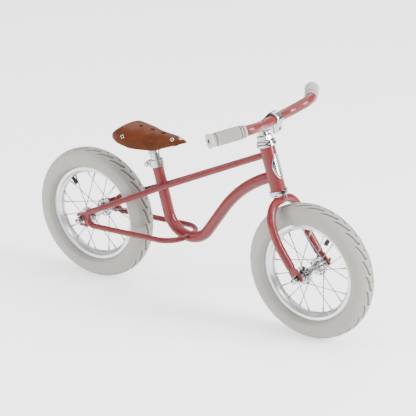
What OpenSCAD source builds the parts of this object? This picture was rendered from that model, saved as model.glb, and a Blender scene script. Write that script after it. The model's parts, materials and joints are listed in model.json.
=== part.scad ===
// Balance bike for a small child: steel frame, unicrown fork, quill stem, spoked 12 inch wheels.
// Millimetres. +X points forwards, +Y to the rider's left, +Z up. The tyres stand on z = 0 and
// x = 0 lies midway between the wheel centres.

/* [Layout] */
// Distance between the wheel centres
wheel_base = 578.5; // [560:0.5:600]
// Lean of the steering axis from upright
steer_tilt = 17.75; // [16:0.25:19]
// Distance from the steering axis to the front wheel centre
fork_rake = 31.5; // [28:0.5:35]
// Lean of the seat tube from upright
seat_tilt = 16; // [15:0.5:17]

/* [Tyres and rims] */
// Outer diameter of each tyre
tyre_d = 305; // [300:1:310]
// Width of each tyre
tyre_w = 55; // [50:0.5:56]
// Diameter over the rim flanges
rim_d = 219; // [216:0.5:220]
// Width over the rim flanges
rim_w = 26; // [24:0.5:28]

/* [Spokes and hubs] */
// Spokes on each side of a wheel
spokes_per_side = 10; // [8:2:10]
// Spoke diameter
spoke_d = 2; // [1.8:0.1:2.2]
// Diameter of the hub flanges
hub_flange_d = 42; // [40:1:44]
// Distance from the wheel's middle to each hub flange
hub_flange_y = 30; // [28:1:31]
// Axle diameter
axle_d = 8.8; // [8:0.2:9]
// Distance from the wheel's middle to the middle of a dropout
dropout_y = 54.5; // [54:0.5:56]

/* [Frame tubes] */
// Diameter of the main tube
main_tube_d = 25.4; // [25:0.1:26]
// Diameter of the thin stays
stay_d = 12.7; // [12:0.1:14]
// Diameter of the head tube
head_tube_d = 34; // [33.5:0.5:35]
// Length of the head tube
head_tube_len = 99; // [96:1:102]
// Diameter of the fork blades
blade_d = 19; // [18:0.5:20]

/* [Controls] */
// Diameter of the handlebar, of the quill and of the seat post
post_d = 22.2; // [22:0.1:22.3]
// Length of each grip
grip_len = 84; // [80:1:88]
// Length of seat post that shows above the seat tube
post_show = 34; // [32:1:38]

/* [Hidden] */
$fn = 48;
wheel_r = tyre_d / 2;
rear_x = -wheel_base / 2;
front_x = wheel_base / 2;
left = 1;
right = -1;
sides = [left, right];
tube_wall = 1.5;
fit = 0.05;
axle_r = axle_d / 2;
spoke_r = spoke_d / 2;
post_r = post_d / 2;
bore_r = post_r + fit;
seat_bore_r = post_r + fit;
steerer_r = 12.7;
// The steering frame has its origin on the steering axis, beside the front wheel centre.
head_base = 184.8;
head_top = head_base + head_tube_len;
clamp_at = [37.7, 0, 339.2];

// ---------- Vectors and bent tubes ----------

function unit(v) = v / norm(v);
function leg(p, i) = unit(p[i + 1] - p[i]);
function turn(p, i) = acos(leg(p, i - 1) * leg(p, i));
function setback(p, bends, i) =
    i == 0 || i == len(p) - 1 ? 0 : bends[i - 1] * tan(turn(p, i) / 2);
function straight_len(p, bends, i) =
    norm(p[i + 1] - p[i]) - setback(p, bends, i) - setback(p, bends, i + 1);
function bend_axis(p, i) = unit(cross(leg(p, i - 1), leg(p, i)));
function roll(p, i) = atan2(
    cross(bend_axis(p, i), bend_axis(p, i + 1)) * leg(p, i),
    bend_axis(p, i) * bend_axis(p, i + 1));

// The wall of a tube, or a solid rod where the inner radius is 0
module section(outer, inner) {
    difference() {
        circle(r = outer);
        if (inner > 0) circle(r = inner);
    }
}

// One bend, from the origin along +Z and round towards +X. Its wall is a hair thicker than
// that of the straights, which reach a little way into it.
lap = 0.4;
swell = 0.02;
module bend(radius, angle, outer, inner) {
    multmatrix([[-1, 0, 0, radius], [0, 0, 1, 0], [0, 1, 0, 0], [0, 0, 0, 1]])
        rotate_extrude(angle = angle)
            translate([radius, 0]) section(outer + swell, inner > 0 ? inner - swell : 0);
}

// The rest of a tube from leg i on, drawn in the frame of that leg
module tube_from(p, bends, outer, inner, i) {
    run = straight_len(p, bends, i);
    back = i > 0 ? lap : 0;
    more = i < len(p) - 2 ? lap : 0;
    translate([0, 0, -back]) linear_extrude(back + run + more) section(outer, inner);
    if (i < len(p) - 2) {
        radius = bends[i];
        angle = turn(p, i + 1);
        translate([0, 0, run]) {
            bend(radius, angle, outer, inner);
            translate([radius, 0, 0]) rotate([0, angle, 0]) translate([-radius, 0, 0])
                rotate([0, 0, i < len(p) - 3 ? roll(p, i + 1) : 0])
                    tube_from(p, bends, outer, inner, i + 1);
        }
    }
}

// A tube through the points p, with one bend radius for each inner point
module bent_tube(p, bends, outer, inner = 0) {
    z = leg(p, 0);
    y = bend_axis(p, 1);
    x = cross(y, z);
    o = p[0];
    multmatrix([[x[0], y[0], z[0], o[0]], [x[1], y[1], z[1], o[1]],
                [x[2], y[2], z[2], o[2]], [0, 0, 0, 1]])
        tube_from(p, bends, outer, inner, 0);
}

// A straight round bar between two points
module rod(a, b, r) {
    v = b - a;
    translate(a) rotate([0, acos(v[2] / norm(v)), atan2(v[1], v[0])])
        cylinder(h = norm(v), r = r);
}

// A round piece along Y between two distances from the middle plane
module pin_y(y0, y1, r) {
    translate([0, y0, 0]) rotate([-90, 0, 0]) cylinder(h = y1 - y0, r = r);
}

module mirrored(side) {
    if (side == left) children();
    else mirror([0, 1, 0]) children();
}

// The steering frame: +Z up the steering axis, +X forwards
module in_head() {
    translate([front_x - fork_rake * cos(steer_tilt), 0, wheel_r - fork_rake * sin(steer_tilt)])
        rotate([0, -steer_tilt, 0]) children();
}

function from_head(v) = [
    front_x - fork_rake * cos(steer_tilt) + v[0] * cos(steer_tilt) - v[2] * sin(steer_tilt),
    v[1],
    wheel_r - fork_rake * sin(steer_tilt) + v[0] * sin(steer_tilt) + v[2] * cos(steer_tilt)];

// The seat frame: origin at the top of the seat tube, +Z up the post
seat_top = [-119.2, 0, 312.7];
module in_seat() {
    translate(seat_top) rotate([0, -seat_tilt, 0]) children();
}

// ---------- Frame ----------

main_route = [seat_top, seat_top + 245.7 * [sin(seat_tilt), 0, -cos(seat_tilt)],
    [111, 0, 314.5], [199, 0, 351]];
main_bends = [59, 290];

module main_tube_body(outer, inner) {
    bent_tube(main_route, main_bends, outer, inner);
}

module main_tube() {
    color("#b0605f") difference() {
        main_tube_body(main_tube_d / 2, seat_bore_r);
        in_head() cylinder(h = head_top, r = head_tube_d / 2);
        // Clamping slit at the back of the seat tube
        in_seat() translate([-20, -1.5, -32]) cube([20, 3, 40]);
    }
}

module head_tube() {
    color("#b0605f") in_head() translate([0, 0, head_base]) difference() {
        cylinder(h = head_tube_len, r = head_tube_d / 2);
        translate([0, 0, -1]) cylinder(h = head_tube_len + 2, r = head_tube_d / 2 - 2);
    }
}

// One tube a side: upper run, tight bend behind the dropout, lower run and the wide loop
stay_bend_x = rear_x + 17;
function stay_route() = [
    [174, 8, 394.6],
    [-103, 16.8, 256.7],
    [rear_x + 52, dropout_y, 190],
    [stay_bend_x, dropout_y, 172.7],
    [stay_bend_x, dropout_y, 142.1],
    [-29, dropout_y, 156],
    [-29, 2, 157.5]];
stay_bends = [200, 150, 17, 17, 50];

module stay_body(outer, inner) {
    bent_tube(stay_route(), stay_bends, outer, inner);
}

module stay() {
    color("#b0605f") difference() {
        stay_body(stay_d / 2, stay_d / 2 - 1.2);
        in_head() cylinder(h = head_top, r = head_tube_d / 2);
        main_tube_body(main_tube_d / 2, 0);
    }
}

// The tight bend alone, behind the dropout
module stay_corner() {
    bent_tube([[rear_x + 34, dropout_y, 181], stay_route()[3], stay_route()[4],
        [rear_x + 50, dropout_y, 144]], [17, 17], stay_d / 2);
}

// Open hook that the axle drops into from behind
dropout_t = 5;
module dropout() {
    color("#b0605f") difference() {
        translate([rear_x, dropout_y + dropout_t / 2, wheel_r]) rotate([90, 0, 0])
            linear_extrude(dropout_t) {
                polygon([[18, 24.2], [-7.6, 11.6], [-9.4, 4.4], [0, 5.2], [4.5, 5.2],
                    [5.2, 0], [12, -9.8], [-4, -11.4], [-4, -15.2], [18, -15.2]]);
                translate([-9.2, 8.2]) circle(r = 3.8);
                translate([-4, -13.3]) circle(r = 1.9);
            }
        stay_corner();
        translate([stay_bend_x, 0, 100]) cube([60, 80, 120]);
        translate([rear_x, 0, wheel_r]) pin_y(40, 70, axle_r + fit);
    }
}

module stay_left() { stay(); }
module stay_right() { mirror([0, 1, 0]) stay(); }
module dropout_left() { dropout(); }
module dropout_right() { mirror([0, 1, 0]) dropout(); }

badge_mid = head_base + 52;
badge_half_w = 15;
badge_half_h = 28;
module head_badge() {
    color("silver") in_head() intersection() {
        difference() {
            cylinder(h = head_top, r = head_tube_d / 2 + 1.4);
            cylinder(h = head_top, r = head_tube_d / 2 + 0.1);
        }
        translate([0, 0, badge_mid]) rotate([0, 90, 0]) linear_extrude(40)
            scale([badge_half_h / badge_half_w, 1]) circle(r = badge_half_w);
    }
}

module badge_rivets() {
    color("dimgray") in_head() for (up = [-1, 1])
        translate([head_tube_d / 2 + 1.5, 0, badge_mid + up * (badge_half_h - 3.5)])
            rotate([0, 90, 0]) cylinder(h = 1.2, r = 1.6);
}

collar_h = 16;
collar_lip = 5;
collar_r = main_tube_d / 2 + 3;
collar_pin = -collar_r - 7;
module seat_collar() {
    color("silver") in_seat() translate([0, 0, -collar_h + collar_lip]) difference() {
        union() {
            cylinder(h = collar_h - 1, r = collar_r);
            cylinder(h = collar_h, r = collar_r - 1);
            translate([-collar_r - 9.5, -7.5, 1.5]) cube([13, 15, collar_h - 3]);
            translate([-collar_r - 9.5, 0, collar_h / 2]) pin_y(-7.5, 7.5, (collar_h - 3) / 2);
        }
        translate([0, 0, -1]) cylinder(h = collar_h - collar_lip + 1, r = main_tube_d / 2 + fit);
        translate([0, 0, -1]) cylinder(h = collar_h + 2, r = post_r + 0.6);
        translate([-collar_r - 20, -1.5, -1]) cube([collar_r + 20, 3, collar_h + 2]);
        translate([collar_pin, 0, collar_h / 2]) pin_y(-20, 20, 2.6);
    }
}

module collar_bolt() {
    color("silver") in_seat() translate([collar_pin, 0, collar_lip - collar_h / 2]) {
        pin_y(-9, 12, 2.5);
        pin_y(-10.5, -7.6, 4.2);
        translate([0, 7.6, 0]) rotate([-90, 30, 0]) cylinder(h = 4, r = 4.6, $fn = 6);
    }
}

// ---------- Headset ----------

ball_r = 2;
race_ball_r = 16;
cup_r = 20.4;
chamber_r = race_ball_r + ball_r + fit;
lower_balls = head_base - 6.4;
upper_balls = head_top + 4.8;

module ball_ring(count, ring_r, r) {
    rotate_extrude() translate([ring_r, 0]) circle(r = 0.45 * r);
    for (i = [0:count - 1]) rotate(i * 360 / count) translate([ring_r, 0, 0]) sphere(r = r);
}

// A ring turned from [radius, height] points
module turned(points) {
    rotate_extrude($fn = 72) polygon(points);
}

module lower_cup() {
    color("silver") in_head() turned([
        [12.9, head_base + 8], [14.95, head_base + 8], [14.95, head_base],
        [cup_r, head_base], [cup_r, head_base - 7], [cup_r - 1, head_base - 10],
        [chamber_r, head_base - 10], [chamber_r, lower_balls + ball_r + fit],
        [12.9, lower_balls + ball_r + fit]]);
}

module crown_race() {
    color("silver") in_head() turned([
        [12.75, 172.8], [17.4, 172.8], [17.4, lower_balls - ball_r - fit],
        [12.75, lower_balls - ball_r - fit]]);
}

module lower_ball_ring() {
    color("dimgray") in_head() translate([0, 0, lower_balls]) ball_ring(18, race_ball_r, ball_r);
}

module upper_cup() {
    color("silver") in_head() turned([
        [12.9, head_top - 8], [14.95, head_top - 8], [14.95, head_top],
        [cup_r + 0.6, head_top], [cup_r + 1.8, head_top + 2], [cup_r + 1.8, head_top + 5],
        [cup_r + 0.4, head_top + 7.2], [chamber_r, head_top + 7.2],
        [chamber_r, upper_balls - ball_r - fit], [12.9, upper_balls - ball_r - fit]]);
}

module upper_ball_ring() {
    color("dimgray") in_head() translate([0, 0, upper_balls]) ball_ring(18, race_ball_r, ball_r);
}

cone_top = head_top + 13;
module top_cone() {
    color("silver") in_head() turned([
        [12.75, upper_balls + ball_r + fit], [17.4, upper_balls + ball_r + fit],
        [17.4, head_top + 7.8], [20.4, head_top + 7.8], [20.4, head_top + 11],
        [18.4, cone_top], [12.75, cone_top]]);
}

module keyed_washer() {
    color("silver") in_head() translate([0, 0, cone_top]) difference() {
        cylinder(h = 1.5, r = 17.2);
        translate([0, 0, -1]) cylinder(h = 4, r = 12.75);
    }
}

nut_base = cone_top + 1.5;
nut_h = 9.5;
module lock_nut() {
    color("silver") in_head() translate([0, 0, nut_base]) difference() {
        intersection() {
            cylinder(h = nut_h, r = 18, $fn = 8);
            turned([[0, 0], [16.4, 0], [17.6, 1.2], [17.6, nut_h - 1.5], [15.6, nut_h], [0, nut_h]]);
        }
        translate([0, 0, -1]) cylinder(h = nut_h - 1, r = 12.75);
        translate([0, 0, -1]) cylinder(h = nut_h + 2, r = post_r + 0.4);
    }
}

// ---------- Fork ----------

crown_z = 162.8;
blade_knee = [2, 86];
blade_bend = atan((fork_rake - blade_knee[0]) / blade_knee[1]);
end_gap = 27;
module blade_pair(outer, inner) {
    foot = [fork_rake - end_gap * sin(blade_bend), end_gap * cos(blade_bend)];
    bent_tube([
        [foot[0], -dropout_y, foot[1]], [blade_knee[0], -dropout_y, blade_knee[1]],
        [0, -dropout_y, crown_z], [0, dropout_y, crown_z],
        [blade_knee[0], dropout_y, blade_knee[1]], [foot[0], dropout_y, foot[1]]],
        [180, 46, 46, 180], outer, inner);
}

module fork_blades() {
    color("#b0605f") in_head() blade_pair(blade_d / 2, blade_d / 2 - tube_wall);
}

steerer_top = nut_base + nut_h - 3;
module fork_steerer() {
    color("#b0605f") in_head() difference() {
        union() {
            translate([0, 0, crown_z]) cylinder(h = steerer_top - crown_z, r = steerer_r);
            translate([0, 0, crown_z + 2]) cylinder(h = 172.7 - crown_z - 2, r = 15);
        }
        translate([0, 0, crown_z + 14]) cylinder(h = 200, r = bore_r);
        blade_pair(blade_d / 2, 0);
    }
}

// Slotted end plate, drawn with the slot running along +X from the axle
module fork_end() {
    difference() {
        union() {
            translate([-end_gap - 14, -8.5]) square([end_gap + 9, 17]);
            translate([-20, 4.8]) square([27, 6]);
            translate([7, 7.8]) circle(r = 3);
            translate([-20, -10.4]) square([14, 5.6]);
            translate([-6, -7.6]) circle(r = 2.8);
        }
        translate([-4.5, 0]) circle(r = axle_r + 0.4);
        translate([-4.5, -axle_r - 0.4]) square([30, 2 * axle_r + 0.8]);
    }
}

module fork_ends() {
    color("#b0605f") in_head() difference() {
        for (side = sides)
            translate([fork_rake, side * dropout_y + dropout_t / 2, 0])
                rotate([90, 90 - blade_bend, 0]) linear_extrude(dropout_t) fork_end();
        blade_pair(blade_d / 2, 0);
    }
}

// ---------- Stem and handlebar ----------

quill_foot = 236;
clamp_r = 17.2;
clamp_half = 11;
lobe_at = [36.5, 0, 318];
lobe_r = 8.5;

// Cut that splits the quill from its wedge
module wedge_side() {
    translate([0, 0, quill_foot]) rotate([0, 35, 0]) translate([-40, -40, -120]) cube([80, 80, 120]);
}

// A disc across the bike with rounded rims
module clamp_disc(at, r) {
    translate(at) {
        pin_y(-clamp_half + 3.2, clamp_half - 3.2, r);
        pin_y(-clamp_half + 1, clamp_half - 1, r - 1);
        pin_y(-clamp_half, clamp_half, r - 3);
    }
}

module stem() {
    color("silver") in_head() difference() {
        union() {
            translate([0, 0, quill_foot - 20]) cylinder(h = 340 - quill_foot, r = post_r);
            hull() {
                translate([0, 0, 319]) cylinder(h = 10, r = 11.6, $fn = 40);
                translate([2, 0, 326]) sphere(r = 12, $fn = 40);
                clamp_disc(clamp_at, clamp_r, $fn = 48);
            }
            hull() {
                clamp_disc(clamp_at, clamp_r - 2, $fn = 48);
                clamp_disc(lobe_at, lobe_r, $fn = 40);
            }
        }
        wedge_side();
        translate(clamp_at) pin_y(-30, 30, bore_r);
        translate([0, 0, 190]) cylinder(h = 200, r = 4.2);
        translate([0, 0, 333]) cylinder(h = 20, r = 6.4);
        // Slit that lets the clamp close on the bar
        translate([36, -20, 300]) cube([2, 40, 38]);
        translate(lobe_at) rotate([0, 90, 0]) translate([0, 0, -20]) cylinder(h = 40, r = 2.55);
        translate(lobe_at) rotate([0, 90, 0]) translate([0, 0, 5]) cylinder(h = 20, r = 4.3);
    }
}

module expander_bolt() {
    color("dimgray") in_head() difference() {
        union() {
            translate([0, 0, 214]) cylinder(h = 120, r = 4.1);
            translate([0, 0, 333.1]) cylinder(h = 6, r = 6.2);
        }
        translate([0, 0, 335]) cylinder(h = 5, r = 3, $fn = 6);
    }
}

module expander_wedge() {
    color("dimgray") in_head() difference() {
        intersection() {
            translate([0, 0, quill_foot - 28]) cylinder(h = 44, r = post_r);
            translate([0, 0, -0.2]) wedge_side();
        }
        translate([0, 0, 190]) cylinder(h = 100, r = 4.15);
    }
}

module bar_pinch_bolt() {
    color("silver") in_head() translate(lobe_at) rotate([0, 90, 0]) difference() {
        union() {
            translate([0, 0, -8]) cylinder(h = 14, r = 2.5);
            translate([0, 0, 5.05]) cylinder(h = 3.2, r = 4.2);
        }
        translate([0, 0, 6.5]) cylinder(h = 3, r = 2, $fn = 6);
    }
}

// Bar points for the left half, from the clamp out to the end
bar_mid = from_head(clamp_at);
bar_rise = bar_mid + [0, 50, 0];
bar_corner = bar_mid + [22.6, 104.5, 16.6];
bar_end = bar_mid + [-33.6, 196.2, 3.5];
grip_dir = unit(bar_end - bar_corner);
function flip(v) = [v[0], -v[1], v[2]];

module handlebar() {
    tip = bar_end - 4 * grip_dir;
    color("#b0605f") bent_tube(
        [flip(tip), flip(bar_corner), flip(bar_rise), bar_rise, bar_corner, tip],
        [45, 60, 60, 45], post_r, post_r - 1.6);
}

// Draws along the left grip's axis, with +Z outwards and the origin at its outer face
module at_grip() {
    translate(bar_end)
        rotate([0, acos(grip_dir[2]), atan2(grip_dir[1], grip_dir[0])]) children();
}

module grip() {
    color("#deded8") at_grip() difference() {
        translate([0, 0, -grip_len]) turned([
            [0, 0], [12.6, 0], [13.6, 1], [13.6, 6], [12.8, 7], [12.8, 8.5], [14.3, 9.5],
            [14.3, 13], [13.8, 15], [14.6, 16], [15.2, 42], [14.6, 66], [13.8, 67],
            [14, 77], [16, 79.5], [17.7, 81], [17.7, 83], [16.7, 84], [0, 84]]);
        translate([0, 0, -grip_len - 1]) cylinder(h = grip_len - 3, r = bore_r);
        translate([0, 0, -10]) cylinder(h = 20, r = 5);
    }
}

module grip_left() { grip(); }
module grip_right() { mirror([0, 1, 0]) grip(); }

// ---------- Seat post and saddle ----------

module seat_post() {
    color("silver") in_seat() difference() {
        translate([0, 0, -90]) cylinder(h = 90 + post_show, r = post_r);
        translate([0, 0, -91]) cylinder(h = 87 + post_show, r = post_r - 1.8);
    }
}

pivot_up = post_show + 7;
pivot = seat_top + pivot_up * [-sin(seat_tilt), 0, cos(seat_tilt)];
rail_z = pivot[2] + 7.8;
rail_y = 18;
rail_r = 3.5;

module saddle_clamp_band() {
    color("dimgray") in_seat() difference() {
        union() {
            translate([0, 0, post_show - 14]) cylinder(h = 14, r = 13.1);
            translate([-6, -12, post_show - 3]) cube([12, 24, 8]);
            translate([0, 0, pivot_up]) pin_y(-13, 13, 7);
        }
        translate([0, 0, post_show - 20]) cylinder(h = 20, r = bore_r);
        translate([0, 0, pivot_up]) pin_y(-30, 30, 4.1);
    }
}

module saddle_clamp_bolt() {
    color("silver") translate(pivot) {
        pin_y(-28, 28, 4);
        for (side = sides) mirrored(side) translate([0, 23.6, 0]) rotate([-90, 0, 0])
            cylinder(h = 5, r = 6.2, $fn = 6);
    }
}

module saddle_clamp_cheeks() {
    color("dimgray") translate(pivot) difference() {
        for (side = sides) mirrored(side) union() {
            pin_y(13.2, 23.5, 8);
            translate([-14, 13.2, 3]) cube([28, 10.3, 6.5]);
        }
        pin_y(-40, 40, 4.05);
        for (side = sides) translate([-60, side * rail_y, rail_z - pivot[2]]) rotate([0, 90, 0])
            cylinder(h = 120, r = rail_r + 0.03);
    }
}

module saddle_rails() {
    color("silver") for (side = sides) mirrored(side) bent_tube([
        [-201, rail_y, 364.5], [-189, rail_y, rail_z], [-98, rail_y, rail_z], [-72, 5, 364]],
        [8, 30], rail_r);
}

// Saddle outline: broad at the back, narrowing to a nose, domed in layers and grown by g
module saddle_form(z_low, z_top, g, deep = 0) {
    hull() {
        for (side = sides) {
            translate([-196, side * 19, z_low + 9]) cylinder(h = 4 + deep, r = 31 + g, $fn = 32);
            translate([-190, side * 14, z_top - 13]) cylinder(h = 1, r = 27 + g, $fn = 32);
            translate([-186, side * 9, z_top - 4]) cylinder(h = 1, r = 19 + g, $fn = 32);
            translate([-182, side * 6, z_top - 1]) cylinder(h = 1, r = 10 + g, $fn = 32);
            translate([-150, side * 17, z_low]) cylinder(h = 12 + deep, r = 28 + g, $fn = 32);
            translate([-116, side * 11, z_low + 1]) cylinder(h = 12 + deep, r = 20 + g, $fn = 32);
            translate([-80, side * 6, z_low + 12]) cylinder(h = 8 + deep, r = 16.5 + g, $fn = 32);
        }
        translate([-51, 0, z_top - 19]) cylinder(h = 8, r = 12 + g, $fn = 32);
        translate([-60, 0, z_top - 5]) cylinder(h = 1, r = 9 + g, $fn = 32);
    }
}

// Each rivet's own frame on the cover, with +Z pointing outwards
module at_rivets() {
    for (side = sides) {
        translate([-178, side * 43, 370]) rotate([-side * 46, 0, 0]) children();
        translate([-66, side * 15.5, 371]) rotate([-side * 62, 0, 0]) children();
    }
    translate([-222.5, 0, 366]) rotate([0, -54, 0]) children();
    translate([-40, 0, 373]) rotate([0, 70, 0]) children();
}

saddle_top = 387;
saddle_skirt = 346;
rivet_r = 4;
module saddle_cover() {
    color("#8f5530") difference() {
        saddle_form(saddle_skirt, saddle_top, 0);
        saddle_form(saddle_skirt - 16, saddle_top - 9, -5, 12);
        for (x = [-161, -129.5, -99.5]) translate([x, 0, saddle_top - 20]) cylinder(h = 30, r = 2.6);
        at_rivets() translate([0, 0, -1]) cylinder(h = 8, r = rivet_r + 0.1, $fn = 24);
        at_rivets() translate([0, 0, -12]) cylinder(h = 14, r = 1.6, $fn = 24);
    }
}

module saddle_base() {
    color("#2a2624") difference() {
        hull() {
            for (side = sides) translate([-194, side * 13, 362]) cylinder(h = 4, r = 18, $fn = 32);
            translate([-120, 0, 362]) cylinder(h = 4, r = 17, $fn = 32);
            translate([-70, 0, 362]) cylinder(h = 4, r = 9.5, $fn = 32);
        }
        for (x = [-161, -129.5, -99.5]) translate([x, 0, 355]) cylinder(h = 20, r = 3);
        for (side = sides) mirrored(side) {
            rod([-189, rail_y, rail_z], [-205, rail_y, 367.5], rail_r + 0.6);
            rod([-98, rail_y, rail_z], [-68, 3, 364.8], rail_r + 0.6);
            translate([-189, rail_y, rail_z]) rotate([0, 90, 0]) cylinder(h = 91, r = rail_r + 0.6);
        }
    }
}

module saddle_rivets() {
    color("silver") at_rivets() {
        translate([0, 0, -0.95]) cylinder(h = 2.4, r = rivet_r);
        translate([0, 0, -6]) cylinder(h = 6, r = 1.5);
    }
}

// ---------- Wheels ----------

module at_wheel(x) {
    translate([x, 0, wheel_r]) children();
}

// An outline of [radius, along] points closed by its own mirror image
function both(q) = concat(q, [for (i = [len(q) - 1:-1:0]) [q[i][0], -q[i][1]]]);

// Turns a [radius, along] outline about the wheel's axle, which lies along Y
module about_axle() {
    rotate([-90, 0, 0]) rotate_extrude($fn = 120) children();
}

tyre_half = tyre_w / 2;
tyre_mid = wheel_r - tyre_half;
rim_r = rim_d / 2;
rim_half = rim_w / 2;

// Points on a circle about the middle of the tyre section, between two angles from outwards
function tyre_arc(r, from, to) =
    [for (i = [0:36]) [tyre_mid + r * cos(from + (to - from) * i / 36),
        r * sin(from + (to - from) * i / 36)]];

module tyre() {
    inside = tyre_half - 3.5;
    outer_end = acos(-8.5 / tyre_half);
    inner_end = acos(-6.5 / inside);
    foot = [[rim_r + 1, rim_half - 0.2], [rim_r + 1, rim_half - 1.9],
        [rim_r - 6, rim_half - 1.9], [rim_r - 6, 8.3], [rim_r + 2.6, 8.3],
        [rim_r + 4, rim_half - 0.5], [tyre_mid - 9, 0.75 * tyre_half]];
    other = [for (i = [len(foot) - 1:-1:0]) [foot[i][0], -foot[i][1]]];
    color("#d8d6cf") about_axle() polygon(concat(
        tyre_arc(tyre_half, -outer_end, outer_end), foot,
        tyre_arc(inside, inner_end, -inner_end), other));
}

valve_tip = 84;
module inner_tube(valve_at) {
    mid = tyre_mid + 5;
    color("#1c1c1c") {
        difference() {
            union() {
                about_axle() translate([mid, 0]) circle(r = 18.4);
                rotate([0, -valve_at, 0]) rotate([0, 90, 0]) translate([0, 0, valve_tip])
                    cylinder(h = mid - valve_tip - 10, r = 4);
            }
            about_axle() translate([mid, 0]) circle(r = 17.2);
        }
    }
}

module valve_cap(valve_at) {
    color("#141414") rotate([0, -valve_at, 0]) rotate([0, 90, 0]) translate([0, 0, valve_tip - 6])
        difference() {
            cylinder(h = 9, r = 4.9);
            translate([0, 0, 6]) cylinder(h = 9, r = 4.05);
        }
}

// Where the spokes run: the hub hole, the side of the flange they leave, and the rim hole
hole_ring_r = 17.2;
function spoke_angle(side, i) = (side == left ? 0 : 360 / spokes_per_side / 2)
    + i * 360 / spokes_per_side;
function rim_angle(side, i) = spoke_angle(side, i)
    + (i % 2 == 0 ? 1 : -1) * 360 / spokes_per_side;
// Spokes outside the flange start further from it, because they lean in across its edge
function elbow_gap(i) = i % 2 == 0 ? 4.3 : 2.6;
function elbow(side, i) = [hole_ring_r * cos(spoke_angle(side, i)),
    side * (hub_flange_y + (i % 2 == 0 ? 1 : -1) * elbow_gap(i)),
    hole_ring_r * sin(spoke_angle(side, i))];
nipple_r = 98.5;
function rim_point(side, i) = [nipple_r * cos(rim_angle(side, i)), side * 2.6,
    nipple_r * sin(rim_angle(side, i))];
function along(side, i, back) = rim_point(side, i)
    - back * unit(rim_point(side, i) - elbow(side, i));

module each_spoke() {
    for (side = sides, i = [0:spokes_per_side - 1]) {
        $side = side;
        $i = i;
        children();
    }
}

module spokes() {
    color("silver") each_spoke() {
        e = elbow($side, $i);
        out = $side * ($i % 2 == 0 ? 1 : -1);
        through = elbow_gap($i) + flange_t / 2 + 0.1;
        rod(e, along($side, $i, 2), spoke_r);
        rod(e + [0, out, 0], e - [0, out * (through + 0.3), 0], spoke_r + 0.05);
        rod(e - [0, out * through, 0], e - [0, out * (through + 1), 0], 1.9);
    }
}

module sphere_at(p, r) {
    translate(p) sphere(r = r);
}

module nipples() {
    color("silver") each_spoke() difference() {
        union() {
            rod(along($side, $i, 13), along($side, $i, 0.5), 1.9);
            rod(along($side, $i, 1), along($side, $i, -0.5), 2.6);
        }
        rod(along($side, $i, 14), along($side, $i, 1.2), spoke_r + 0.03);
    }
}

module rim(valve_at) {
    well = 94.2;
    half = [[well, 2.5], [well + 1.8, 6], [well + 5.6, 9.4], [rim_r - 7.4, rim_half - 0.6],
        [rim_r - 1.4, rim_half - 0.2], [rim_r - 0.8, rim_half + 0.2], [rim_r, rim_half - 0.6],
        [rim_r - 0.4, rim_half - 1.6], [rim_r - 6.3, rim_half - 1.7], [well + 7.2, 8.2],
        [well + 3.6, 5.2], [well + 1.7, 2]];
    color("#e4e4e4") difference() {
        about_axle() polygon(both(half));
        each_spoke() rod(along($side, $i, 20), along($side, $i, -4), 2.2);
        rotate([0, -valve_at, 0]) rotate([0, 90, 0]) cylinder(h = rim_r, r = 4.3);
    }
}

hub_end = 38;
hub_ball_r = 2.38;
hub_ball_ring = 8.7;
hub_ball_y = 34;
flange_t = 2.4;
module hub_shell() {
    cup = hub_ball_ring + hub_ball_r + fit;
    back = hub_ball_y - hub_ball_r - fit;
    shell = [[8.4, hub_flange_y - 6], [13, hub_flange_y - 2.5],
        [13.6, hub_flange_y - flange_t / 2], [hub_flange_d / 2, hub_flange_y - flange_t / 2],
        [hub_flange_d / 2, hub_flange_y + flange_t / 2], [14.2, hub_flange_y + flange_t / 2],
        [13.4, hub_end], [cup, hub_end], [cup, back], [5.6, back]];
    color("#d0d0d0") difference() {
        about_axle() polygon(both(shell));
        each_spoke() {
            a = spoke_angle($side, $i);
            mid_a = a + 180 / spokes_per_side;
            translate([hole_ring_r * cos(a), 0, hole_ring_r * sin(a)])
                mirrored($side) pin_y(hub_flange_y - 3, hub_flange_y + 3, spoke_r + 0.1);
            translate([hole_ring_r * cos(mid_a), 0, hole_ring_r * sin(mid_a)])
                mirrored($side) pin_y(hub_flange_y - 3, hub_flange_y + 3, 1.9);
        }
    }
}

axle_half = 72;
plate_in = dropout_y - dropout_t / 2;
plate_out = dropout_y + dropout_t / 2;
module axle() {
    color("dimgray") pin_y(-axle_half, axle_half, axle_r);
}

module cones() {
    cone = [[axle_r + 0.03, 31.6], [hub_ball_ring - hub_ball_r - fit, 31.6],
        [hub_ball_ring - hub_ball_r - fit, 36.6], [9.6, 36.6], [9.6, 40.4], [7.6, 41.4],
        [7.6, plate_in - 5], [axle_r + 0.03, plate_in - 5]];
    color("#9a9a9a") for (s = sides) {
        about_axle() polygon([for (q = cone) [q[0], s * q[1]]]);
        mirrored(s) difference() {
            translate([0, plate_in - 5, 0]) rotate([-90, 0, 0]) cylinder(h = 5, r = 9.2, $fn = 6);
            pin_y(plate_in - 8, plate_in + 2, axle_r + 0.03);
        }
    }
}

module ball_rings() {
    color("dimgray") for (s = sides) translate([0, s * hub_ball_y, 0]) rotate([90, 0, 0])
        ball_ring(9, hub_ball_ring, hub_ball_r);
}

washer_t = 1.6;
module washers() {
    color("silver") for (s = sides) mirrored(s) difference() {
        pin_y(plate_out, plate_out + washer_t, 8.8);
        pin_y(plate_out - 2, plate_out + 4, axle_r + 0.1);
    }
}

module axle_nuts() {
    seat = plate_out + washer_t;
    color("silver") for (s = sides) mirrored(s) difference() {
        union() {
            translate([0, seat, 0]) rotate([-90, 0, 0]) cylinder(h = 7, r = 7.7, $fn = 6);
            pin_y(seat, axle_half - 1.5, 6.1);
            sphere_at([0, axle_half - 1.5, 0], 6.1);
        }
        pin_y(seat - 1, axle_half + 0.5, axle_r + 0.03);
    }
}

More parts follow.
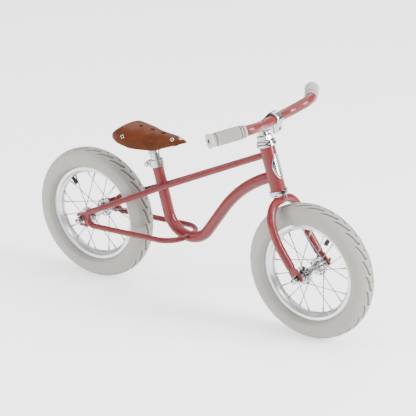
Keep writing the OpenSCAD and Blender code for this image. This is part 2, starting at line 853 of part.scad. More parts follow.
rear_valve = 135;
front_valve = 63;
module rear_tyre() { at_wheel(rear_x) tyre(); }
module rear_inner_tube() { at_wheel(rear_x) inner_tube(rear_valve); }
module rear_valve_cap() { at_wheel(rear_x) valve_cap(rear_valve); }
module rear_rim() { at_wheel(rear_x) rim(rear_valve); }
module rear_spokes() { at_wheel(rear_x) spokes(); }
module rear_nipples() { at_wheel(rear_x) nipples(); }
module rear_hub_shell() { at_wheel(rear_x) hub_shell(); }
module rear_axle() { at_wheel(rear_x) axle(); }
module rear_cones() { at_wheel(rear_x) cones(); }
module rear_ball_rings() { at_wheel(rear_x) ball_rings(); }
module rear_washers() { at_wheel(rear_x) washers(); }
module rear_axle_nuts() { at_wheel(rear_x) axle_nuts(); }
module front_tyre() { at_wheel(front_x) tyre(); }
module front_inner_tube() { at_wheel(front_x) inner_tube(front_valve); }
module front_valve_cap() { at_wheel(front_x) valve_cap(front_valve); }
module front_rim() { at_wheel(front_x) rim(front_valve); }
module front_spokes() { at_wheel(front_x) spokes(); }
module front_nipples() { at_wheel(front_x) nipples(); }
module front_hub_shell() { at_wheel(front_x) hub_shell(); }
module front_axle() { at_wheel(front_x) axle(); }
module front_cones() { at_wheel(front_x) cones(); }
module front_ball_rings() { at_wheel(front_x) ball_rings(); }
module front_washers() { at_wheel(front_x) washers(); }
module front_axle_nuts() { at_wheel(front_x) axle_nuts(); }

main_tube();
head_tube();
stay_left();
stay_right();
dropout_left();
dropout_right();
head_badge();
badge_rivets();
seat_collar();
collar_bolt();
lower_cup();
upper_cup();
seat_post();
saddle_clamp_band();
saddle_clamp_bolt();
saddle_cover();
saddle_base();
saddle_rivets();
saddle_rails();
saddle_clamp_cheeks();
fork_steerer();
fork_blades();
fork_ends();
crown_race();
lower_ball_ring();
upper_ball_ring();
top_cone();
keyed_washer();
lock_nut();
stem();
expander_bolt();
expander_wedge();
bar_pinch_bolt();
handlebar();
grip_left();
grip_right();
rear_tyre();
rear_inner_tube();
rear_valve_cap();
rear_rim();
rear_spokes();
rear_nipples();
rear_hub_shell();
rear_axle();
rear_cones();
rear_ball_rings();
rear_washers();
rear_axle_nuts();
front_tyre();
front_inner_tube();
front_valve_cap();
front_rim();
front_spokes();
front_nipples();
front_hub_shell();
front_axle();
front_cones();
front_ball_rings();
front_washers();
front_axle_nuts();
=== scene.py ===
"""Looks of the balance bike: tread, saddle, grips, badge and materials round the CAD frame."""
import json
import math

import bpy
import numpy as np
from mathutils import Matrix, Vector


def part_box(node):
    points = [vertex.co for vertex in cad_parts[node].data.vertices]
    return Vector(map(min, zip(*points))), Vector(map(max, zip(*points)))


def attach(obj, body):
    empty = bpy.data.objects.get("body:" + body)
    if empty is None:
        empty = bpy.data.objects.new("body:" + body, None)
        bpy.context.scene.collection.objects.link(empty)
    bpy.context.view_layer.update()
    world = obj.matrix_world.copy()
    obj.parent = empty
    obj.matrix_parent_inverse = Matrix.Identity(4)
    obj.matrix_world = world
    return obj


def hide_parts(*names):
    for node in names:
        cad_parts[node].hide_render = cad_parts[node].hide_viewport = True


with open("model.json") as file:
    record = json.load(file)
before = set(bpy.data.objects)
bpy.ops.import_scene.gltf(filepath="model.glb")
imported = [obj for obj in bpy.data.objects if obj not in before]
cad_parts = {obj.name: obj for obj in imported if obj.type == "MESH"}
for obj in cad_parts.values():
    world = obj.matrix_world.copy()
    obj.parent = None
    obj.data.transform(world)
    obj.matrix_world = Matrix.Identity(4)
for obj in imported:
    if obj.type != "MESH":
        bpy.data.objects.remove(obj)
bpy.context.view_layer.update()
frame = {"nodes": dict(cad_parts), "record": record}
record = frame["record"]
joints = {j["name"]: j for j in record["behaviour"]["joints"]}
MM = 0.001


# ---------------------------------------------------------------- materials

class Nodes:
    """A small helper that builds one procedural material."""

    def __init__(self, name):
        self.mat = bpy.data.materials.new(name)
        self.mat.use_nodes = True
        self.tree = self.mat.node_tree
        self.bsdf = next(n for n in self.tree.nodes if n.type == "BSDF_PRINCIPLED")
        self.coords = self.add("ShaderNodeTexCoord").outputs["Object"]

    def add(self, kind, **values):
        n = self.tree.nodes.new(kind)
        for k, v in values.items():
            setattr(n, k, v)
        return n

    def link(self, a, b):
        self.tree.links.new(a, b)

    def put(self, **values):
        for k, v in values.items():
            self.bsdf.inputs[k.replace("_", " ")].default_value = v

    def noise(self, scale, detail=3.0, rough=0.5, stretch=None):
        n = self.add("ShaderNodeTexNoise")
        n.inputs["Scale"].default_value = scale
        n.inputs["Detail"].default_value = detail
        n.inputs["Roughness"].default_value = rough
        source = self.coords
        if stretch:
            m = self.add("ShaderNodeMapping")
            m.inputs["Scale"].default_value = stretch
            self.link(source, m.inputs["Vector"])
            source = m.outputs["Vector"]
        self.link(source, n.inputs["Vector"])
        return n.outputs["Fac"]

    def ramp(self, fac, stops):
        r = self.add("ShaderNodeValToRGB")
        while len(r.color_ramp.elements) < len(stops):
            r.color_ramp.elements.new(0.5)
        for e, (at, colour) in zip(r.color_ramp.elements, stops):
            e.position = at
            e.color = (*colour, 1.0)
        self.link(fac, r.inputs["Fac"])
        return r.outputs["Color"]

    def spread(self, fac, low, high):
        m = self.add("ShaderNodeMapRange")
        m.inputs["From Min"].default_value = 0.3
        m.inputs["From Max"].default_value = 0.7
        m.inputs["To Min"].default_value = low
        m.inputs["To Max"].default_value = high
        self.link(fac, m.inputs["Value"])
        return m.outputs["Result"]

    def bump(self, fac, distance, under=None):
        b = self.add("ShaderNodeBump")
        b.inputs["Distance"].default_value = distance
        b.inputs["Strength"].default_value = 1.0
        self.link(fac, b.inputs["Height"])
        if under:
            self.link(under, b.inputs["Normal"])
        return b.outputs["Normal"]

    def colour(self, out):
        self.link(out, self.bsdf.inputs["Base Color"])

    def paint_shade(self, base, shade_colour):
        """Painted shade: mix towards a shade colour by the mesh's own groove attribute."""
        groove = self.add("ShaderNodeAttribute", attribute_name="groove")
        mix = self.add("ShaderNodeMix", data_type="RGBA")
        mix.inputs["B"].default_value = (*shade_colour, 1.0)
        self.link(groove.outputs["Fac"], mix.inputs["Factor"])
        self.link(base, mix.inputs["A"])
        return mix.outputs["Result"]

    def rough(self, out):
        self.link(out, self.bsdf.inputs["Roughness"])

    def normal(self, out):
        self.link(out, self.bsdf.inputs["Normal"])


def shades(colour, by):
    """A darker and a lighter version of a colour."""
    dark = tuple(c * (1 - by) for c in colour)
    light = tuple(min(1.0, c * (1 + by)) for c in colour)
    return dark, light


def metal(name, colour, low, high, scale, stretch=None, relief=0.0):
    """Bare or plated metal, its roughness between low and high."""
    m = Nodes(name)
    dark, light = shades(colour, 0.05)
    m.put(Metallic=1.0)
    m.colour(m.ramp(m.noise(scale * 0.4), [(0.35, dark), (0.65, light)]))
    m.rough(m.spread(m.noise(scale, 4.0, 0.6, stretch), low, high))
    if relief:
        m.normal(m.bump(m.noise(scale * 14, 3.0, 0.6, stretch), relief))
    return m.mat


def dull(name, colour, by, low, high, scale, relief, relief_scale, shade_colour=None):
    """Rubber or plastic, roughness low to high; the optional shade colour is painted shade down in
    its grooves.
    """
    m = Nodes(name)
    dark, light = shades(colour, by)
    m.put(Specular_IOR_Level=0.4)
    base = m.ramp(m.noise(scale, 5.0, 0.6), [(0.3, dark), (0.7, light)])
    m.colour(m.paint_shade(base, shade_colour) if shade_colour else base)
    m.rough(m.spread(m.noise(scale * 3), low, high))
    m.normal(m.bump(m.noise(relief_scale, 4.0, 0.6), relief))
    return m.mat


def paint():
    """Rose enamel under a thin clear coat."""
    m = Nodes("rose_paint")
    stops = [(0.3, (0.130, 0.0160, 0.0175)), (0.7, (0.142, 0.0185, 0.020))]
    m.colour(m.ramp(m.noise(5.0, 4.0), stops))
    m.rough(m.spread(m.noise(30.0), 0.30, 0.36))
    m.put(Coat_Weight=0.38, Coat_Roughness=0.04, Specular_IOR_Level=0.15)
    m.normal(m.bump(m.noise(260.0, 2.0), 0.00003))
    return m.mat


def rubber():
    """Off-white tyre rubber, with painted shade down in the grooves of the tread."""
    m = Nodes("off_white_tyre")
    stops = [(0.3, (0.262, 0.250, 0.226)), (0.7, (0.282, 0.270, 0.246))]
    base = m.ramp(m.noise(14.0, 5.0, 0.6), stops)
    m.colour(m.paint_shade(base, (0.080, 0.075, 0.066)))
    m.put(Specular_IOR_Level=0.4)
    m.rough(m.spread(m.noise(42.0), 0.58, 0.72))
    m.normal(m.bump(m.noise(900.0, 4.0, 0.6), 0.0001))
    return m.mat


def shaded_badge():
    """Plated badge metal, darkened where it is pressed in: painted shade in the pressed lines."""
    m = Nodes("badge_metal")
    base = m.ramp(m.noise(30.0), [(0.3, (0.62, 0.62, 0.61)), (0.7, (0.68, 0.68, 0.67))])
    m.colour(m.paint_shade(base, (0.02, 0.02, 0.02)))
    m.put(Metallic=1.0)
    m.rough(m.spread(m.noise(80.0), 0.10, 0.20))
    return m.mat


def leather():
    """Mottled tan leather with fine pores, and painted shade where the cover is pressed in."""
    m = Nodes("tan_leather")
    stops = [(0.25, (0.046, 0.0102, 0.0020)),
             (0.50, (0.074, 0.0165, 0.0030)),
             (0.78, (0.106, 0.025, 0.0048))]
    base = m.ramp(m.noise(22.0, 6.0, 0.62), stops)
    m.colour(m.paint_shade(base, (0.010, 0.004, 0.002)))
    m.rough(m.spread(m.noise(70.0, 4.0), 0.42, 0.55))
    m.put(Specular_IOR_Level=0.14)
    pores = m.bump(m.noise(1500.0, 4.0, 0.6), 0.00010)
    m.normal(m.bump(m.noise(420.0, 3.0), 0.00006, under=pores))
    return m.mat


MATS = {
    "frame_paint": paint(),
    "plated_metal": metal("bright_chrome", (0.47, 0.47, 0.48), 0.05, 0.10, 40.0),
    "fastener_steel": metal("zinc_steel", (0.42, 0.42, 0.43), 0.20, 0.32, 90.0, relief=0.00002),
    "badge_metal": shaded_badge(),
    "rim_metal": metal("polished_rim", (0.64, 0.64, 0.645), 0.24, 0.32, 25.0, (1.0, 8.0, 1.0)),
    "tyre_rubber": rubber(),
    "black_rubber": dull("black_rubber", (0.012, 0.012, 0.012), 0.3, 0.45, 0.6,
                         60.0, 0.00010, 900.0),
    # The grip's shade colour is painted shade in its rib valleys and ring grooves
    "grip_rubber": dull("off_white_grip", (0.385, 0.375, 0.35), 0.03, 0.5, 0.62,
                        30.0, 0.00006, 1100.0, shade_colour=(0.08, 0.075, 0.065)),
    "saddle_leather": leather(),
    "saddle_plastic": dull("dark_plastic", (0.016, 0.014, 0.012), 0.25, 0.5, 0.65,
                           50.0, 0.00008, 700.0),
}
SLOT = {s["node"]: s["material_slot"] for s in record["subparts"]}
SPOKE = metal("stainless_spoke", (0.24, 0.24, 0.245), 0.14, 0.24, 90.0)
for node, obj in frame["nodes"].items():
    obj.data.materials.clear()
    obj.data.materials.append(SPOKE if node.endswith("_spokes") else MATS[SLOT[node]])


# ---------------------------------------------------------------- mesh helpers

def add_mesh(name, verts, faces, material, body):
    """A smooth-shaded piece that rides on a body and carries a material slot."""
    mesh = bpy.data.meshes.new(name)
    mesh.from_pydata([tuple(v) for v in verts], [], [tuple(f) for f in faces])
    mesh.validate()
    mesh.update()
    obj = bpy.data.objects.new(name, mesh)
    bpy.context.scene.collection.objects.link(obj)
    mesh.materials.append(MATS[material])
    mesh.polygons.foreach_set("use_smooth", [True] * len(mesh.polygons))
    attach(obj, body)
    return obj


def grid_faces(n, m, around_n=False, around_m=False, flip=False):
    """Quads of an n by m grid of points, closed round either way if asked."""
    rows, cols = np.arange(n if around_n else n - 1), np.arange(m if around_m else m - 1)
    i, j = np.meshgrid(rows, cols, indexing="ij")
    i1, j1 = (i + 1) % n, (j + 1) % m
    quads = np.stack([i * m + j, i1 * m + j, i1 * m + j1, i * m + j1], -1).reshape(-1, 4)
    return quads[:, ::-1] if flip else quads


def grid(name, points, material, body, around_n=False, around_m=False, flip=False):
    n, m, _ = points.shape
    faces = grid_faces(n, m, around_n, around_m, flip).tolist()
    return add_mesh(name, points.reshape(-1, 3), faces, material, body)


def groove(obj, depth):
    """Store how much painted shade each point gets, 0 to 1, for the painted-shade mix in Nodes to
    read.
    """
    shade = obj.data.attributes.new("groove", "FLOAT", "POINT")
    shade.data.foreach_set("value", np.clip(depth, 0.0, 1.0).ravel().astype(np.float32))


def smooth_step(x):
    x = np.clip(x, 0.0, 1.0)
    return x * x * (3 - 2 * x)


# ---------------------------------------------------------------- tyres

GROOVES = 27
PITCH = 360.0 / GROOVES
MM_PER_DEG = 2.62  # round the crown
# One sweeping groove, as degrees round the tyre and mm from the centre line
GROOVE_PATH = [(0.0, 6.0), (5.6, 9.0), (11.2, 13.0), (12.6, 16.5), (12.9, 20.5)]


def seg_distance(px, py, a, b):
    """Distance of points from the straight line between a and b."""
    (ax, ay), (bx, by) = a, b
    dx, dy = bx - ax, by - ay
    t = np.clip(((px - ax) * dx + (py - ay) * dy) / (dx ** 2 + dy ** 2), 0, 1)
    return np.hypot(px - ax - t * dx, py - ay - t * dy)


def tread(theta, arc):
    """Tread height in mm at an angle in degrees and an arc distance in mm from the centre line."""
    side = np.where(arc < 0, 0.0, 0.5)
    a = np.abs(arc)
    h = np.zeros_like(a)
    local = np.mod(theta - side * PITCH, PITCH)
    cut = np.full_like(a, 99.0)
    for k in (-1, 0, 1):
        u = (local + k * PITCH) * MM_PER_DEG
        for (t0, a0), (t1, a1) in zip(GROOVE_PATH[:-1], GROOVE_PATH[1:]):
            ends = (t0 * MM_PER_DEG, a0), (t1 * MM_PER_DEG, a1)
            cut = np.minimum(cut, seg_distance(u, a, *ends))
        # A round pit at the groove's inner end, and a small nub outside it
        dot = np.hypot(u + 0.5 * MM_PER_DEG, (a - 2.6) * 1.1)
        h -= 1.8 * smooth_step((3.1 - dot) / 0.9)
        nub = np.hypot(u - 8.0 * MM_PER_DEG, a - 21.5)
        h += 0.45 * smooth_step((0.75 - nub) / 0.5)
    # The raised crown, out to the wavy edge of the shoulder
    edge = 12.0 + 7.0 * np.clip(local / 12.0, 0, 1)
    h += 0.55 * smooth_step((edge - a) / 1.6 + 0.5)
    h -= 1.8 * smooth_step((3.3 - 0.085 * a - cut) / 1.1) * smooth_step((21.0 - a) / 8.0)
    # Fine slanted cuts along the crown
    fine = np.mod(theta + a * 0.55, PITCH / 4) * MM_PER_DEG
    band = smooth_step((5.0 - a) / 0.8) * smooth_step((a - 0.8) / 0.6)
    h -= 0.5 * smooth_step((0.5 - np.abs(fine - 1.2)) / 0.4) * band
    return h


def tyre(name, node, body, phase):
    """A tyre with its tread, which starts phase degrees round the wheel."""
    low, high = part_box(node)
    centre = (np.array(low) + np.array(high)) / 2
    outer = (high[2] - low[2]) / 2 / MM
    half = (high[1] - low[1]) / 2 / MM
    mid = outer - half
    # Section from one bead lip over the crown to the other, as (radius, y, arc distance)
    phi = np.radians(np.concatenate([np.linspace(108, 52, 16)[:-1], np.linspace(52, 0, 60)]))
    arc_r, arc_y = mid + half * np.cos(phi), half * np.sin(phi)
    t = np.linspace(0, 1, 12)[:-1, None]
    p0, p3 = np.array([109.7, 12.6]), np.array([arc_r[0], arc_y[0]])
    p1, p2 = p0 + [1.5, 4.2], p3 + np.array([-0.951, -0.309]) * 4.5
    curve = ((1 - t) ** 3 * p0 + 3 * t * (1 - t) ** 2 * p1
             + 3 * t * t * (1 - t) * p2 + t ** 3 * p3)
    lip = np.array([[108.6, 12.1], [109.2, 12.15]])
    half_r = np.concatenate([lip[:, 0], curve[:, 0], arc_r])
    half_y = np.concatenate([lip[:, 1], curve[:, 1], arc_y])
    # Below the sidewall the arc distance only has to be past every mark, so it is 60 mm
    half_a = np.concatenate([np.full(len(lip) + len(curve), 60.0), half * phi])
    r = np.concatenate([half_r, half_r[-2::-1]])
    y = np.concatenate([-half_y, half_y[-2::-1]])
    a = np.concatenate([-half_a, half_a[-2::-1]])
    tr, ty = np.gradient(r), np.gradient(y)
    size = np.hypot(tr, ty)
    nr, ny = ty / size, -tr / size
    n = GROOVES * 34
    theta = np.linspace(0, 360, n, endpoint=False)
    T, A = np.meshgrid(theta, a, indexing="ij")
    h = tread(T - phase, A)
    h = np.where(np.abs(A) > 45, 0.0, h) - 0.55 * (np.abs(A) < 24)
    # Sparse vent stubs and two faint moulding rings on the sidewalls
    for stub in np.arange(8, 360, 45.0):
        for where in (33.5, 46.0):
            d = np.hypot((np.mod(T - stub - where + 180, 360) - 180) * 2.3, np.abs(A) - where)
            h = h + 0.5 * smooth_step((0.7 - d) / 0.4)
    h = h + 0.16 * smooth_step((0.8 - np.abs(np.abs(A) - 41.0)) / 0.5)
    R = r[None, :] + nr[None, :] * h
    Y = y[None, :] + ny[None, :] * h
    ang = np.radians(T)
    pts = np.stack([R * np.cos(ang), Y, R * np.sin(ang)], -1) * MM + centre
    obj = grid(name, pts, "tyre_rubber", body, around_n=True)
    # Painted shade down in the tread's grooves and pits, the deeper points darker
    groove(obj, (-0.45 - h) / 1.2)
    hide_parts(node)


tyre("front_tyre_tread", "front_tyre", "front_wheel", 78.4)
tyre("rear_tyre_tread", "rear_tyre", "rear_wheel", 71.0)


# ---------------------------------------------------------------- saddle

def pchip(xs, ys):
    """Monotone cubic interpolation."""
    xs, ys = np.array(xs, float), np.array(ys, float)
    h, d = np.diff(xs), np.diff(ys) / np.diff(xs)
    m = np.zeros_like(ys)
    for i in range(1, len(xs) - 1):
        if d[i - 1] * d[i] > 0:
            w1, w2 = 2 * h[i] + h[i - 1], h[i] + 2 * h[i - 1]
            m[i] = (w1 + w2) / (w1 / d[i - 1] + w2 / d[i])
    m[0], m[-1] = d[0], d[-1]

    def at(x):
        x = np.clip(x, xs[0], xs[-1])
        i = np.clip(np.searchsorted(xs, x, side="right") - 1, 0, len(xs) - 2)
        t = (x - xs[i]) / h[i]
        return ((2 * t ** 3 - 3 * t ** 2 + 1) * ys[i]
                + (t ** 3 - 2 * t ** 2 + t) * h[i] * m[i]
                + (-2 * t ** 3 + 3 * t ** 2) * ys[i + 1]
                + (t ** 3 - t ** 2) * h[i] * m[i + 1])

    return at


# Tail and nose in mm, then half width, top and lower edge along the saddle
SADDLE_X = (-227.5, -38.0)
STATIONS = [0, 0.02, 0.06, 0.13, 0.2, 0.4, 0.6, 0.8, 0.93, 1.0]
sad_w = pchip(STATIONS, [9, 20, 33.5, 45, 50, 43, 31.5, 21, 11, 2.5])
sad_top = pchip(STATIONS, [358, 364.5, 372.5, 382, 387, 387, 384, 383, 379.5, 376.5])
sad_low = pchip(STATIONS, [357, 359, 361, 359.5, 356, 347.5, 348, 360.5, 369, 373.5])


def saddle_point(t, s, sink=0.0):
    """Point on the saddle, t from tail to nose and s from -1 at the right edge to 1 at the left."""
    ang = s * math.pi / 2
    w, top, low = sad_w(t), sad_top(t), sad_low(t)
    y = (w - sink) * np.sign(np.sin(ang)) * np.abs(np.sin(ang)) ** 0.85
    crown = 0.55 + 0.22 * smooth_step((t - 0.25) / 0.6)
    z = low + (top - sink - low) * np.maximum(np.cos(ang), 0) ** crown
    x = SADDLE_X[0] + (SADDLE_X[1] - SADDLE_X[0]) * t + sink * (1 - 2 * t)
    return np.stack([x, y, z], -1)


def saddle_frame(t, s):
    """A point on the saddle, with the directions forward, sideways and outward there."""
    e = 1e-3
    p = saddle_point(t, s)
    du = saddle_point(t + e, s) - saddle_point(t - e, s)
    dv = saddle_point(t, s + e) - saddle_point(t, s - e)
    du, dv = du / np.linalg.norm(du), dv / np.linalg.norm(dv)
    n = np.cross(du, dv)
    n /= np.linalg.norm(n)
    dv = np.cross(n, du)
    return p, du, dv, n


VENTS = [-160.6, -129.2, -99.4]  # x of the three holes along the middle


def emblem(u, v):
    """Generic pressed oval, u and v in mm from its middle: two rings with rays between them."""
    r = np.hypot(u / 16.5, v / 13.5)
    ring = 0.6 * smooth_step((0.09 - np.abs(r - 0.98)) / 0.07)
    inner = 0.6 * smooth_step((0.07 - np.abs(r - 0.45)) / 0.05)
    ang = np.mod(np.degrees(np.arctan2(v, u)), 24.0)
    between = smooth_step((r - 0.50) / 0.05) * smooth_step((0.88 - r) / 0.05)
    rays = smooth_step((5.0 - np.abs(ang - 12.0)) / 3.0) * between
    return ring + inner + rays


def saddle():
    """The leather cover, with its emblems and holes pressed in, and painted shade in them."""
    n, m = ((300, 220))
    t = np.concatenate([np.linspace(0, 0.08, n // 6)[:-1], np.linspace(0.08, 1, n)])
    s = np.linspace(-1, 1, m)
    T, S = np.meshgrid(t, s, indexing="ij")
    top = saddle_point(T, S)
    du = np.gradient(top, axis=0)
    dv = np.gradient(top, axis=1)
    normal = np.cross(du, dv)
    normal /= np.linalg.norm(normal, axis=-1, keepdims=True) + 1e-9
    h = np.zeros_like(T)
    # dark is painted shade: it darkens the pressed emblem lines and the vent holes
    dark = np.zeros_like(T)
    for side in (-1, 1):
        c, cu, cv, _ = saddle_frame(0.595, side * 0.66)
        d = top - c
        u, v = (d * cu).sum(-1), (d * cv).sum(-1)
        mark = emblem(u, v) * (S * side > 0.2)
        h -= 0.55 * mark
        dark += 0.9 * mark
    for x in VENTS:
        d = np.hypot(top[..., 0] - x, top[..., 1])
        upper = top[..., 2] > 360
        h -= 6.0 * smooth_step((5.0 - d) / 0.8) * upper
        h -= 0.35 * smooth_step((1.2 - np.abs(d - 6.4)) / 1.0) * upper
        dark += 1.2 * smooth_step((5.1 - d) / 0.8) * upper
    outer = top + normal * h[..., None]
    inner = saddle_point(T, S, sink=3.2)
    inner[:, 0] = outer[:, 0] + [0, 2.6, 0.3]
    inner[:, -1] = outer[:, -1] + [0, -2.6, 0.3]
    # One closed skin: over the top, round the edge, and back underneath
    loop = np.concatenate([outer, inner[:, ::-1]], axis=1)
    rows, cols, _ = loop.shape
    faces = grid_faces(rows, cols, around_m=True).tolist()
    for i in (0, rows - 1):
        a = i * cols
        for j in range(m - 1):
            quad = [a + j, a + j + 1, a + cols - 2 - j, a + cols - 1 - j]
            faces.append(quad if i == 0 else quad[::-1])
    obj = add_mesh("saddle_leather", loop.reshape(-1, 3) * MM, faces, "saddle_leather", "saddle")
    groove(obj, np.concatenate([dark, np.zeros_like(dark)], axis=1))
    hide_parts("saddle_cover")


saddle()


RIVET_SIZE = 1.15
# From the skirt to the middle, as (radius, height, how square)
RIVET_RINGS = [(3.55, -0.8, 1), (3.55, 0.45, 1), (3.3, 0.75, 1), (2.5, 0.8, 0.5),
               (2.3, 0.75, 0), (2.25, 0.2, 0), (0.02, 0.3, 0)]


def rivet(name, t, s):
    """A square-washered rivet with a dark socket, lying on the saddle."""
    p, u, v, n = saddle_frame(t, s)
    k = 48
    ang = np.linspace(0, 2 * math.pi, k, endpoint=False)
    a = ang + math.radians(45)
    square = 1.0 / np.maximum(np.abs(np.cos(a)), np.abs(np.sin(a))) ** 0.72
    rings = []
    for radius, height, squareness in RIVET_RINGS:
        r = (radius * RIVET_SIZE * (1 + (square - 1) * squareness))[:, None]
        flat = r * np.cos(ang)[:, None] * u + r * np.sin(ang)[:, None] * v
        rings.append(p + flat + height * RIVET_SIZE * n)
    world = np.array(rings) * MM
    washer = grid(name, world[:6], "badge_metal", "saddle", around_m=True)
    socket = np.concatenate([world[5:], world[-1:]])
    grid(name + "_socket", socket, "saddle_plastic", "saddle", around_m=True)
    return washer


# Places along and across the saddle, as in saddle_point
RIVETS = [("rivet_rear_right", 0.26, -0.77), ("rivet_rear_left", 0.26, 0.77),
          ("rivet_tail", 0.035, 0.0), ("rivet_front_right", 0.845, -0.46),
          ("rivet_front_left", 0.845, 0.46), ("rivet_nose", 0.92, 0.0)]
first = rivet(*RIVETS[0])
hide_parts("saddle_rivets")
for r in RIVETS[1:]:
    rivet(*r)


# ---------------------------------------------------------------- grips

BAR_END = (-56.2, 91.7, -13.1)  # direction of the bar's left end, out along the grip
FLANGE_R = 17.7
# From the mouth to the end hole, as (distance from the outer end, radius)
GRIP_PROFILE = [
    (84.0, 11.25), (84.0, 12.6), (83.4, 13.4), (78.5, 13.6), (77.8, 13.2), (77.2, 12.5),
    (76.2, 12.5), (75.4, 14.1), (74.8, 14.5), (71.6, 14.5), (71.0, 13.7), (69.8, 13.7),
    (69.2, 14.6), (68.2, 15.0), (67.4, 15.0), (44.0, 15.2), (19.0, 14.9), (18.4, 14.9),
    (17.6, 14.7), (17.0, 13.9), (8.0, 14.1), (5.0, 14.7), (3.6, 15.5), (3.0, 16.0),
    (2.2, 16.3), (1.0, 16.3), (0.3, 16.0), (0.0, 15.4), (0.0, 9.0), (0.4, 6.4), (0.5, 5.2),
]


def grip(name, node, side):
    """A ribbed grip; side is 1 for the left one and -1 for the right one."""
    low, high = (np.array(q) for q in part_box(node))
    axis = np.array(BAR_END) * [1, side, 1]
    axis /= np.linalg.norm(axis)
    reach = np.sqrt(1 - axis ** 2) * FLANGE_R * MM
    end = low + reach
    if side > 0:
        end[1] = high[1] - reach[1]
    rows = []
    for (z0, r0), (z1, r1) in zip(GRIP_PROFILE[:-1], GRIP_PROFILE[1:]):
        steps = 60 if z0 <= 67.4 and z1 >= 19.0 else 1
        for i in range(steps):
            w = i / steps
            rows.append((z0 + (z1 - z0) * w, r0 + (r1 - r0) * w))
    rows.append(GRIP_PROFILE[-1])
    z, r = (np.array(c, float) for c in zip(*rows))
    k = 240
    ang = np.linspace(0, 2 * math.pi, k, endpoint=False)
    A, Z = np.meshgrid(ang, z, indexing="ij")
    R = np.broadcast_to(r, A.shape).copy()
    # Twisted ribs, which fade out at both ends
    fade = smooth_step((Z - 18.6) / 1.2) * smooth_step((67.6 - Z) / 1.2)
    valley = 0.5 * (1 - np.cos(24 * A + side * Z * 1.6)) * fade
    R -= 0.84 * valley
    u = np.cross(axis, [0.0, 0.0, 1.0])
    u /= np.linalg.norm(u)
    v = np.cross(axis, u)
    flat = (R * np.cos(A))[..., None] * u + (R * np.sin(A))[..., None] * v
    pts = end - Z[..., None] * MM * axis + flat * MM
    obj = grid(name, pts, "grip_rubber", "bars", around_n=True)
    # Painted shade in the rib valleys and in the three ring grooves
    painted_shade = 0.8 * valley
    for at, wide in ((77.0, 1.9), (70.4, 1.9), (16.9, 1.2)):
        painted_shade += 0.9 * smooth_step((wide - np.abs(Z - at)) / 0.8)
    groove(obj, painted_shade)
    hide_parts(node)
    # Dark plug down the end hole
    lip = pts[:, -1]
    bottom = end - 6.0 * MM * axis
    plug = np.stack([lip, bottom + (lip - end) * 0.98, np.repeat(bottom[None], k, 0)], 1)
    grid(name + "_hole", plug, "black_rubber", "bars", around_n=True)


grip("left_grip_ribbed", "grip_left", 1)
grip("right_grip_ribbed", "grip_right", -1)


# ---------------------------------------------------------------- head badge

BADGE_HALF_HEIGHT = 28.0
BADGE_FACE_R, BADGE_PRESSED_R, BADGE_EDGE_R = 18.4, 17.75, 17.1  # from the head tube's axis


def badge():
    """A plain oval plate round the head tube, with an outline and five bars pressed in."""
    steer = joints["steer"]
    up = np.array(steer["axis"], float)
    ahead = np.array([up[2], 0.0, -up[0]])
    base = np.array(steer["pos_m"], float)
    low, high = (np.array(q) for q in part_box("head_badge"))
    wide = (high[1] - low[1]) / 2 / MM
    level = float(((low + high) / 2 - base) @ up) / MM
    k, m = ((70, 150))
    out = np.concatenate([np.linspace(0.001, 0.98, k), [1.0, 1.0]])
    rho, phi = np.meshgrid(out, np.linspace(0, 2 * math.pi, m, endpoint=False), indexing="ij")
    u, y = BADGE_HALF_HEIGHT * rho * np.cos(phi), wide * rho * np.sin(phi)
    pressed = smooth_step((0.065 - np.abs(rho - 0.88)) / 0.03)
    for at in (-12.0, -6.0, 0.0, 6.0, 12.0):
        line = smooth_step((0.85 - np.abs(u - at)) / 0.5) * smooth_step(0.62 * wide - np.abs(y))
        pressed = np.maximum(pressed, 0.8 * line * smooth_step((0.72 - rho) / 0.05))
    r = BADGE_FACE_R - (BADGE_FACE_R - BADGE_PRESSED_R) * pressed
    r[-1] = BADGE_EDGE_R
    ang = np.arcsin(y / BADGE_FACE_R)
    across = np.array([0.0, 1.0, 0.0])
    flat = (r * np.cos(ang))[..., None] * ahead + (r * np.sin(ang))[..., None] * across
    pts = base + (level + u)[..., None] * MM * up + flat * MM
    obj = grid("head_badge_pressed", pts, "badge_metal", "frame", around_m=True, flip=True)
    # Painted shade in the pressed outline and bars
    groove(obj, pressed)
    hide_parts("head_badge")


badge()


# ---------------------------------------------------------------- studio

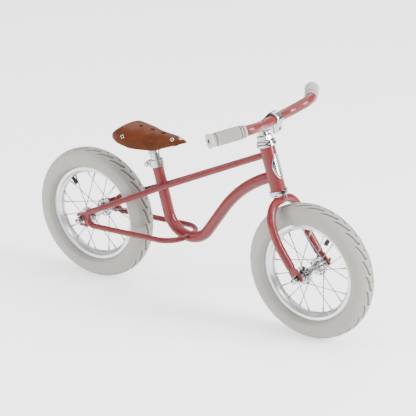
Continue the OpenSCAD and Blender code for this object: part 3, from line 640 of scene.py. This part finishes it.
def stage():
    """Pale floor, soft sky and lights, and dark cards for the chrome to reflect."""
    floor_mat = Nodes("studio_floor")
    stops = [(0.3, (0.90, 0.90, 0.90)), (0.7, (0.93, 0.93, 0.93))]
    floor_mat.colour(floor_mat.ramp(floor_mat.noise(0.6), stops))
    floor_mat.put(Roughness=0.9, Emission_Color=(1.0, 1.0, 1.0, 1.0), Emission_Strength=0.9)
    mesh = bpy.data.meshes.new("studio_floor")
    s = 14.0  # half the floor's side
    mesh.from_pydata([(-s, -s, 0), (s, -s, 0), (s, s, 0), (-s, s, 0)], [], [(0, 1, 2, 3)])
    floor = bpy.data.objects.new("studio_floor", mesh)
    mesh.materials.append(floor_mat.mat)
    bpy.context.scene.collection.objects.link(floor)

    world = bpy.data.worlds.new("studio")
    bpy.context.scene.world = world
    world.use_nodes = True
    # Light sky with one dark band, so bright metal has something dark to reflect
    nt = world.node_tree
    bg = nt.nodes["Background"]
    coord = nt.nodes.new("ShaderNodeTexCoord")
    split = nt.nodes.new("ShaderNodeSeparateXYZ")
    ramp = nt.nodes.new("ShaderNodeValToRGB")
    nt.links.new(coord.outputs["Generated"], split.inputs["Vector"])
    nt.links.new(split.outputs["Z"], ramp.inputs["Fac"])
    stops = [(0.0, 1.0), (0.05, 0.90), (0.09, 0.10), (0.20, 0.10), (0.27, 0.90), (1.0, 1.0)]
    while len(ramp.color_ramp.elements) < len(stops):
        ramp.color_ramp.elements.new(0.5)
    for e, (at, v) in zip(ramp.color_ramp.elements, stops):
        e.position = at
        e.color = (v, v, v * 1.005, 1)
    nt.links.new(ramp.outputs["Color"], bg.inputs["Color"])
    bg.inputs["Strength"].default_value = 0.80

    def softbox(name, where, size, power):
        """A rectangular light that faces the middle of the bike."""
        light = bpy.data.lights.new(name, "AREA")
        light.shape = "RECTANGLE"
        light.size, light.size_y = size
        light.energy = power
        obj = bpy.data.objects.new(name, light)
        obj.location = where
        aim = Vector((0, 0, 0.25)) - Vector(where)
        obj.rotation_euler = aim.to_track_quat("-Z", "Y").to_euler()
        bpy.context.scene.collection.objects.link(obj)

    softbox("key_right", (3.6, 0.9, 1.9), (1.5, 2.4), 360)
    softbox("top", (0.5, 0.5, 3.4), (4.5, 3.0), 150)
    softbox("front_strip", (1.7, -3.4, 2.3), (3.0, 0.8), 45)
    softbox("rim_back", (-1.6, 3.2, 2.4), (2.4, 1.6), 35)
    softbox("fill_left", (-3.0, -2.2, 1.4), (1.8, 1.6), 190)

    # Black cards for the dark bands in the chrome and the paint. Only reflections see them
    black = Nodes("black_card")
    stops = [(0.3, (0.006, 0.006, 0.006)), (0.7, (0.010, 0.010, 0.010))]
    black.colour(black.ramp(black.noise(2.0), stops))
    black.put(Roughness=0.9, Specular_IOR_Level=0.1)
    # Level directions: to the right in the photo's view, and towards its camera
    right, near = Vector((0.8166, 0.5771, 0)), Vector((0.5771, -0.8166, 0))

    def card(name, aside, ahead, wide, tall):
        """An upright sheet on the floor, edge on to the photo's camera."""
        foot = right * aside + near * ahead
        corners = [foot - near * wide / 2, foot + near * wide / 2]
        verts = [(c.x, c.y, h) for c in corners for h in (0.0, tall)]
        sheet = bpy.data.meshes.new(name)
        sheet.from_pydata(verts, [], [(0, 2, 3, 1)])
        sheet.materials.append(black.mat)
        obj = bpy.data.objects.new(name, sheet)
        bpy.context.scene.collection.objects.link(obj)
        obj.visible_camera = obj.visible_shadow = obj.visible_diffuse = False

    card("card_left", -1.15, 0.3, 2.0, 1.1)
    card("card_right", 0.90, 0.75, 0.22, 1.0)


stage()

# The photo's view
AZIMUTH, ELEVATION, DISTANCE, ROLL = 35.252, 22.541, 5.2571, -0.146
target = Vector((0.01924, 0.0, 0.23359))
az, el = math.radians(AZIMUTH), math.radians(ELEVATION)
toward = Vector((math.sin(az) * math.cos(el), -math.cos(az) * math.cos(el), math.sin(el)))
camera = bpy.data.objects.new("camera", bpy.data.cameras.new("camera"))
camera.data.sensor_width = 36.0
camera.data.lens = 208.2
camera.data.clip_end = 60.0
bpy.context.scene.collection.objects.link(camera)
camera.location = target + toward * DISTANCE
turned = toward.to_track_quat("Z", "Y").to_matrix() @ Matrix.Rotation(math.radians(ROLL), 3, "Z")
camera.rotation_euler = turned.to_euler()
bpy.context.scene.camera = camera

bpy.context.view_layer.update()
